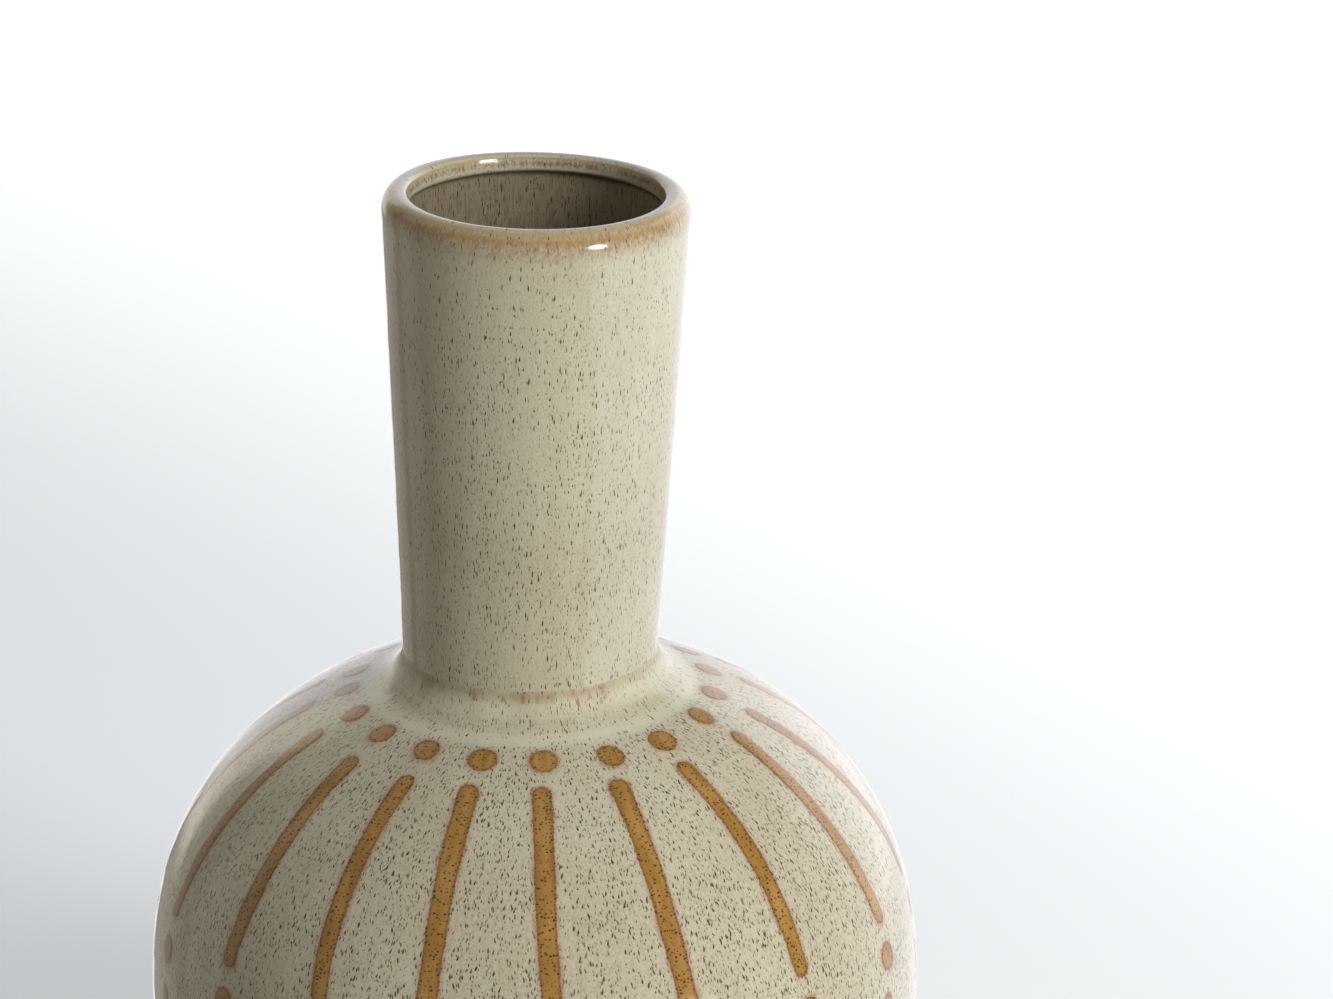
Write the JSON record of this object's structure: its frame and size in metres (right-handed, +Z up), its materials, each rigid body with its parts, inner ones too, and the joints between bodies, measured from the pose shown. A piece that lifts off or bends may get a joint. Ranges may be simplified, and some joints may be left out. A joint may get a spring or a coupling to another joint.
{
  "type": "stoneware vase",
  "caption": "Round-bellied stoneware vase with a tall tapering neck, a speckled pale glaze and raised ochre brush marks round the shoulder.",
  "frame": {"origin": "centre of the foot's underside, on the surface that the vase stands on", "axes": "+Z up along the globe's turning axis; -Y is the front; the neck leans 1.5 degrees towards +X"},
  "size_m": [0.2498, 0.2498, 0.3711],
  "materials": {
    "speckled_glaze": "pale celadon-cream gloss glaze with dark iron specks over buff stoneware; the foot is left bare",
    "ochre_slip": "honey-ochre iron slip under gloss glaze, slightly raised, with darker edges"
  },
  "bodies": {
    "root": {"globe": "speckled_glaze", "neck": "speckled_glaze", "luting_coil": "speckled_glaze", "shoulder_dot_01": "ochre_slip", "shoulder_stripe_01": "ochre_slip", "waist_dot_01": "ochre_slip", "shoulder_dot_02": "ochre_slip", "shoulder_stripe_02": "ochre_slip", "waist_dot_02": "ochre_slip", "shoulder_dot_03": "ochre_slip", "shoulder_stripe_03": "ochre_slip", "waist_dot_03": "ochre_slip", "shoulder_dot_04": "ochre_slip", "shoulder_stripe_04": "ochre_slip", "waist_dot_04": "ochre_slip", "shoulder_dot_05": "ochre_slip", "shoulder_stripe_05": "ochre_slip", "waist_dot_05": "ochre_slip", "shoulder_dot_06": "ochre_slip", "shoulder_stripe_06": "ochre_slip", "waist_dot_06": "ochre_slip", "shoulder_dot_07": "ochre_slip", "shoulder_stripe_07": "ochre_slip", "waist_dot_07": "ochre_slip", "shoulder_dot_08": "ochre_slip", "shoulder_stripe_08": "ochre_slip", "waist_dot_08": "ochre_slip", "shoulder_dot_09": "ochre_slip", "shoulder_stripe_09": "ochre_slip", "waist_dot_09": "ochre_slip", "shoulder_dot_10": "ochre_slip", "shoulder_stripe_10": "ochre_slip", "waist_dot_10": "ochre_slip", "shoulder_dot_11": "ochre_slip", "shoulder_stripe_11": "ochre_slip", "waist_dot_11": "ochre_slip", "shoulder_dot_12": "ochre_slip", "shoulder_stripe_12": "ochre_slip", "waist_dot_12": "ochre_slip", "shoulder_dot_13": "ochre_slip", "shoulder_stripe_13": "ochre_slip", "waist_dot_13": "ochre_slip", "shoulder_dot_14": "ochre_slip", "shoulder_stripe_14": "ochre_slip", "waist_dot_14": "ochre_slip", "shoulder_dot_15": "ochre_slip", "shoulder_stripe_15": "ochre_slip", "waist_dot_15": "ochre_slip", "shoulder_dot_16": "ochre_slip", "shoulder_stripe_16": "ochre_slip", "waist_dot_16": "ochre_slip", "shoulder_dot_17": "ochre_slip", "shoulder_stripe_17": "ochre_slip", "waist_dot_17": "ochre_slip", "shoulder_dot_18": "ochre_slip", "shoulder_stripe_18": "ochre_slip", "waist_dot_18": "ochre_slip", "shoulder_dot_19": "ochre_slip", "shoulder_stripe_19": "ochre_slip", "waist_dot_19": "ochre_slip"}
  },
  "joints": []
}
